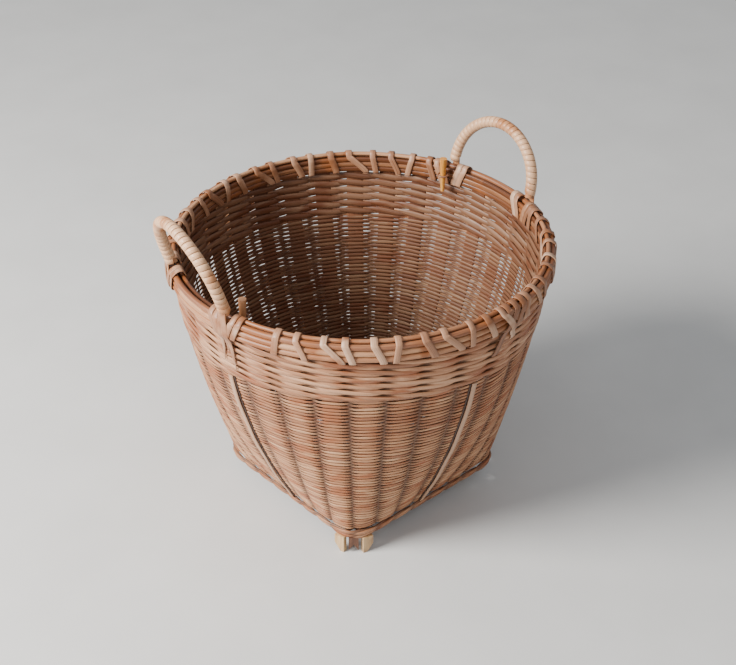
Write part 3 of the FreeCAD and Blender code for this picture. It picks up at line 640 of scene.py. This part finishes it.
# ---------------------------------------------------------------- rim
CANE_RADIUS, TOP_CANE, HOOP_THICK = 3.0, 2.2, 4.2
CANE_HEIGHTS = {place: sum(corner[2] for corner in cad_box(f"rim_outer_cane_{place}")) / 2
                for place in ("bottom", "middle", "top")}
CANE_RING = cad_box("rim_outer_cane_top")[1][0] - CANE_RADIUS
RIM_TOP = CANE_HEIGHTS["top"] + CANE_RADIUS
TOP_CANE_Z = sum(corner[2] for corner in cad_box("rim_top_cane_back")) / 2
HOOP_INNER = hoop_high[0] - HOOP_THICK + CLEARANCE
HOOP_STRIP_RING, HOOP_STRIP_HALF, HOOP_STRIP_HALF_THICK = 179.9, 2.72, 1.9
HANDLES = {"right": -0.6, "left": 170.7}
HANDLE_HALF, CUFF_HALF = 16.9, 2.0
TOP_CANE_RING = 182.45
rim_chance = random.Random(41)


def bent_ring(work, radius, z, half_up, half_out, start, sweep, sides, squareness, own,
              sway=0.3, steps=240):
    """A cane bent round the basket's axis, a whole ring or part of one."""
    ring = sweep > 359.0
    angle = start + sweep * np.arange(steps + (0 if ring else 1)) / steps
    radius = radius + wander(rim_chance, angle, sway, (3, 7, 11))
    z = z + wander(rim_chance, angle, sway * 0.6, (4, 9))
    bearing = np.radians(angle)
    outward = np.stack([np.cos(bearing), np.sin(bearing), 0 * bearing], -1)
    centre = outward * radius[:, None] + UP * z[:, None]
    cane(work, centre, UP * half_up + 0 * centre, outward * half_out, sides=sides,
         squareness=squareness, ring=ring, own=own)


for place, height in CANE_HEIGHTS.items():
    ring_work = new_work()
    bent_ring(ring_work, CANE_RING, height, CANE_RADIUS, CANE_RADIUS, start=200.0, sweep=360.0,
              sides=12, squareness=1.0, own=rim_chance.random())
    laid_piece(ring_work, f"rim_cane_{place}", RIM, "rim_cane", f"rim_outer_cane_{place}")

hoop = new_work()
for height, own in ((269.35, 0.35), (274.8, 0.75), (280.25, 0.2)):
    bent_ring(hoop, HOOP_STRIP_RING, height, HOOP_STRIP_HALF, HOOP_STRIP_HALF_THICK, start=20.0,
              sweep=360.0, sides=12, squareness=0.6, own=own, sway=0.15)
laid_piece(hoop, "inner_hoop", HOOP, "inner_hoop", "rim_inner_hoop")

for stretch, start, end in (("back", HANDLES["right"], HANDLES["left"]),
                            ("front", HANDLES["left"], HANDLES["right"] + 360.0)):
    top_cane = new_work()
    bent_ring(top_cane, TOP_CANE_RING, TOP_CANE_Z, TOP_CANE, TOP_CANE,
              start=start + HANDLE_HALF + CUFF_HALF,
              sweep=end - start - 2 * (HANDLE_HALF + CUFF_HALF),
              sides=10, squareness=1.0, own=rim_chance.random())
    laid_piece(top_cane, f"top_cane_{stretch}", RIM, "rim_cane", f"rim_top_cane_{stretch}")

# ---------------------------------------------------------------- lashing
LACE_OFF, LACE_LOW, LACE_HALF_THICK = 0.85, 265.25, 0.5


def lace(work, top_angle, in_angle, out_angle, over=0.0, half_wide=3.2, own=0.5, tail_z=None):
    """Strip tucked through the wall inside, over the rim and tucked in outside.

    With tail_z it isn't tucked in below the rim, but runs on down over the wale to there.
    """
    inside, outside = HOOP_INNER - LACE_OFF - 0.3, CANE_RING + CANE_RADIUS + LACE_OFF + over
    high = TOP_CANE_Z + TOP_CANE
    route = [
        (MOUTH - 1.3, LACE_LOW, in_angle), (inside + 0.3, LACE_LOW, in_angle),
        (inside, HOOP_FOOT + 1.5, in_angle),
        (inside, HOOP_TOP - 1.5, 0.2 * in_angle + 0.8 * top_angle),
        (HOOP_INNER - 0.4, HOOP_TOP + LACE_OFF, top_angle),
        (MOUTH - TOP_CANE - 1.2, high + 0.3, top_angle),
        (MOUTH, high + LACE_OFF + 0.2, top_angle),
        (MOUTH + TOP_CANE + 1.0, high + 0.2, top_angle),
        (CANE_RING + 1.6, RIM_TOP + LACE_OFF + 0.3, top_angle),
        (CANE_RING + 3.3, RIM_TOP - 0.4, top_angle),
        (outside, RIM_TOP - CANE_RADIUS, 0.8 * top_angle + 0.2 * out_angle),
        (outside, HOOP_FOOT + 1.5, out_angle),
    ]
    if tail_z is None:
        route += [(outside - 1.2, LACE_LOW, out_angle), (MOUTH + 1.3, LACE_LOW - 0.4, out_angle)]
    else:
        turn = (out_angle - top_angle) / (RIM_TOP - HOOP_FOOT)
        for z in (LACE_LOW - 4.0, tail_z + 4.0, tail_z):
            angle = out_angle + 0.6 * turn * (HOOP_FOOT - z)
            wall = np.linalg.norm(wall_point(np.array([angle]), np.array([z]))[0][:2])
            route.append((wall + (5.2 if z > tail_z else 3.4), z, angle))
    route = rounded(route)
    bearing = np.radians(route[:, 2])
    outward = np.stack([np.cos(bearing), np.sin(bearing), 0 * bearing], -1)
    centre = outward * route[:, :1] + UP * route[:, 1:2]
    heading = unit(np.gradient(centre, axis=0))
    level = np.stack([-np.sin(bearing), np.cos(bearing), 0 * bearing], -1)
    through = unit(np.cross(level, heading))
    across = np.cross(heading, through)
    cane(work, centre, across * half_wide, through * LACE_HALF_THICK, sides=8, squareness=0.45,
         own=own)


LACE_PAIRS, LACE_PAIR_GAP, LACE_SLANT, GAP_ROOM = 26, 19.0, 7.0, 1.7
PAIR_HALF, SLANT = math.degrees(LACE_PAIR_GAP / 2 / MOUTH), math.degrees(LACE_SLANT / MOUTH)
lace_chance = random.Random(7)


def gap_angle(wanted):
    """Nearest angle at which a lace passes between two stakes."""
    middle = round(wanted / STAKE_STEP) * STAKE_STEP
    return middle + max(-GAP_ROOM, min(GAP_ROOM, wanted - middle))


def from_handle(angle):
    """How far an angle is from the middle of the nearest handle."""
    return min(abs((angle - handle + 180.0) % 360.0 - 180.0) for handle in HANDLES.values())


lashing = new_work()
for pair in range(LACE_PAIRS):
    middle = pair * 360.0 / LACE_PAIRS
    if from_handle(middle) > HANDLE_HALF + PAIR_HALF + STAKE_STEP / 3:
        for top in (middle - PAIR_HALF, middle + PAIR_HALF):
            top += lace_chance.uniform(-0.5, 0.5)
            slant = SLANT * lace_chance.uniform(0.8, 1.3)
            lace(lashing, top, gap_angle(top - slant), gap_angle(top + slant),
                 half_wide=lace_chance.uniform(3.0, 3.6), own=lace_chance.random())
# one stretch is mended with strips that cross each other and run down over the wale:
# the angles at the top and outside, where the strip ends, and what it passes over
MENDS = ((277.2, 273.2, 240.0, 1.4), (271.6, 275.4, 250.0, 2.4),
         (283.0, 281.2, None, 0.3), (280.6, 277.6, 256.0, 0.8))
for top, out, tail_z, over in MENDS:
    lace(lashing, top, gap_angle(top - SLANT), out, over=over, half_wide=3.4,
         own=lace_chance.random(), tail_z=tail_z)
laid_piece(lashing, "rim_lashing_strips", LASH, "lashing_strip", "rim_lashing")

# two strips on each side of a handle's foot, one beside the other
CUFF_TOP, CUFF_IN, CUFF_OUT, CUFF_TOP_STEP, CUFF_STEP = 3.2, 1.3, 1.1, 2.1, 1.9
for side, handle in HANDLES.items():
    cuffs = new_work()
    for foot in (handle - HANDLE_HALF, handle + HANDLE_HALF):
        for turn in (-1, 1):
            for layer in (0, 1):
                lace(cuffs, foot + turn * (CUFF_TOP + CUFF_TOP_STEP * layer),
                     foot + turn * (CUFF_IN + CUFF_STEP * layer),
                     foot + turn * (CUFF_OUT + CUFF_STEP * layer), over=1.5 - layer,
                     half_wide=3.2, own=lace_chance.random())
    laid_piece(cuffs, f"foot_lashing_{side}", LASH, "lashing_strip", f"handle_lashing_{side}")

# ---------------------------------------------------------------- handles
HANDLE_FOOT_Z = 289.7
HANDLE_REACH = CANE_RING * math.sin(math.radians(HANDLE_HALF))
HANDLE_LEGS = {"right": 4.5, "left": 17.0}
HANDLE_LEANS = {"right": 14.5, "left": 17.0}
WRAP_PITCH, WRAP_START, WRAP_STATIONS = 5.6, 3.0, 18
WRAP_RING, WRAP_HALF, WRAP_HALF_THICK = 5.4, 2.8, 0.36


def handle_frame(side):
    """Where the middle of a handle's chord is, and its chord, arch and outward directions."""
    bearing = math.radians(HANDLES[side])
    level = np.array([-math.sin(bearing), math.cos(bearing), 0.0])
    outward = np.array([math.cos(bearing), math.sin(bearing), 0.0])
    base = outward * CANE_RING * math.cos(math.radians(HANDLE_HALF)) + UP * HANDLE_FOOT_Z
    lean = math.radians(HANDLE_LEANS[side])
    return base, level, UP * math.cos(lean) + outward * math.sin(lean), HANDLE_LEGS[side]


for side in HANDLES:
    base, level, arch_up, leg = handle_frame(side)
    # the bent cane's middle line: a straight leg, half a circle and the other leg
    length = 2 * (leg - WRAP_START) + math.pi * HANDLE_REACH
    turns = int(length / WRAP_PITCH)
    step = np.linspace(0.0, 1.0, turns * WRAP_STATIONS + 1)
    run = step * length
    side_low = run < leg - WRAP_START
    side_high = run > length - (leg - WRAP_START)
    swing = np.clip((run - (leg - WRAP_START)) / HANDLE_REACH, 0.0, math.pi)
    local_x = -HANDLE_REACH * np.cos(swing)
    local_z = leg + HANDLE_REACH * np.sin(swing)
    local_z = np.where(side_low, WRAP_START + run, local_z)
    local_z = np.where(side_high, leg - (run - (length - (leg - WRAP_START))), local_z)
    centre = base + level * local_x[:, None] + arch_up * local_z[:, None]
    heading = unit(np.gradient(centre, axis=0))
    arch_out = np.cross(level, arch_up)
    spoke = np.cross(heading, arch_out)
    twist = 2 * np.pi * turns * step
    radial = spoke * np.cos(twist)[:, None] + arch_out * np.sin(twist)[:, None]
    wrap = new_work()
    winding = centre + radial * WRAP_RING
    along_wrap = unit(np.gradient(winding, axis=0))
    across_wrap = np.cross(along_wrap, radial)
    cane(wrap, winding, across_wrap * WRAP_HALF, radial * WRAP_HALF_THICK, sides=8,
         squareness=0.3, own=0.55)
    laid_piece(wrap, f"wrap_cane_{side}", WRAP, "handle_wrap", f"handle_wrap_{side}")

# the end of the left handle's binding is split and tucked down over the rim and the wale
tail = new_work()
tail_foot = HANDLES["left"] + HANDLE_HALF
TAIL_TOP, TAIL_HALF_THICK = 294.0, 0.45
TAIL_LEAVES = ((-1.0, 236.0, 3.0), (1.0, 228.0, 3.4), (0.2, 246.0, 2.6))
# how far the leaves stand off at each height, to pass over the rim
TAIL_HEIGHTS, TAIL_OFF = [225.0, 250.0, 262.0, 268.0, 285.0, 294.0], [0.0, 0.0, 3.0, 8.6, 9.0, 7.0]
for turn, low, wide in TAIL_LEAVES:
    heights = np.linspace(TAIL_TOP, low, 26)
    down = (TAIL_TOP - heights) / (TAIL_TOP - low)
    angle = tail_foot + turn * (0.5 + 1.5 * down)
    radius = np.interp(heights, TAIL_HEIGHTS, TAIL_OFF)
    bearing = np.radians(angle)
    outward = np.stack([np.cos(bearing), np.sin(bearing), 0 * bearing], -1)
    wall = wall_point(angle, heights) + outward * (4.2 + radius * 0.62)[:, None]
    heading = unit(np.gradient(wall, axis=0))
    level = np.stack([-np.sin(bearing), np.cos(bearing), 0 * bearing], -1)
    through = unit(np.cross(level, heading))
    leaf = wide * np.sin(np.pi * np.clip(0.28 + 0.7 * down, 0.0, 0.98))
    cane(tail, wall, np.cross(heading, through) * leaf[:, None], through * TAIL_HALF_THICK,
         sides=8, squareness=0.6, own=0.75)
laid_piece(tail, "handle_tail_left", LASH, "lashing_strip")

# ---------------------------------------------------------------- ribs
RIB_HALF, RIB_HALF_THICK, RIB_OFF, RIB_SHADOW_OFF = 2.9, 0.7, 3.6, 2.35
for name, side_angle, offset in (("front_left", 180.0, 0.5), ("front_right", 270.0, -0.5),
                                 ("back_right", 0.0, 0.5), ("back_left", 90.0, -0.5)):
    rib = new_work()
    heights = np.linspace(WALL_FOOT + 0.4, BAND_FOOT - 0.6, 60)
    angle = stake_angle(side_angle, offset, heights)
    along, slope, outward = wall_frame(angle, heights)
    bow = RIB_OFF + 0.25 * np.sin(heights / 9.0)
    wall = wall_point(angle, heights)
    cane(rib, wall + outward * bow[:, None], along * RIB_HALF, outward * RIB_HALF_THICK,
         sides=8, squareness=0.5, own=0.6)
    # painted shadow: a dark strip with a frayed edge lies half under the rib's edge, standing in
    # for the shadow gap there
    shadow_side = 1.0 if offset > 0 else -1.0
    shadow_strip_half = 1.5 + 0.35 * np.sin(heights * 1.4)
    cane(rib, wall + outward * RIB_SHADOW_OFF + along * (shadow_side * (RIB_HALF + 0.7)),
         along * shadow_strip_half[:, None], outward * 0.4, sides=6, squareness=0.6, own=0.1, proud=0.0)
    laid_piece(rib, f"rib_strip_{name}", RIB, "rib_strip", f"rib_{name}")


# ---------------------------------------------------------------- CAD nodes that stay
def refinish(prefix, finish):
    """Gives a finish to the CAD nodes whose names start with a prefix."""
    for name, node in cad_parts.items():
        if name.startswith(prefix):
            node.data.materials.clear()
            node.data.materials.append(finish)


refinish("handle_core_", WRAP)
refinish("handle_peg_right", PEG)
refinish("handle_peg_left", WRAP)
refinish("peg_loop_", LASH)
refinish("foot_peg_", FOOT)
refinish("foot_gusset_", GUSSET)

# ---------------------------------------------------------------- floor
FLOOR_HALF, FLOOR_ROUGHNESS = 6.0, 0.7
floor_finish, nodes, links = finish_nodes("studio_floor")
place = nodes.new("ShaderNodeTexCoord").outputs["Object"]
mottle = noise(nodes, links, place, 9.0, 3.0)
links.new(ramp(nodes, links, mottle, [(0.3, (0.60, 0.60, 0.59)), (0.7, (0.64, 0.64, 0.63))]),
          nodes["Principled BSDF"].inputs["Base Color"])
nodes["Principled BSDF"].inputs["Roughness"].default_value = FLOOR_ROUGHNESS
floor_work = bmesh.new()
bmesh.ops.create_grid(floor_work, x_segments=4, y_segments=4, size=FLOOR_HALF)
floor_mesh = bpy.data.meshes.new("floor")
floor_work.to_mesh(floor_mesh)
floor_work.free()
floor_mesh.materials.append(floor_finish)
floor = bpy.data.objects.new("floor", floor_mesh)
bpy.context.collection.objects.link(floor)
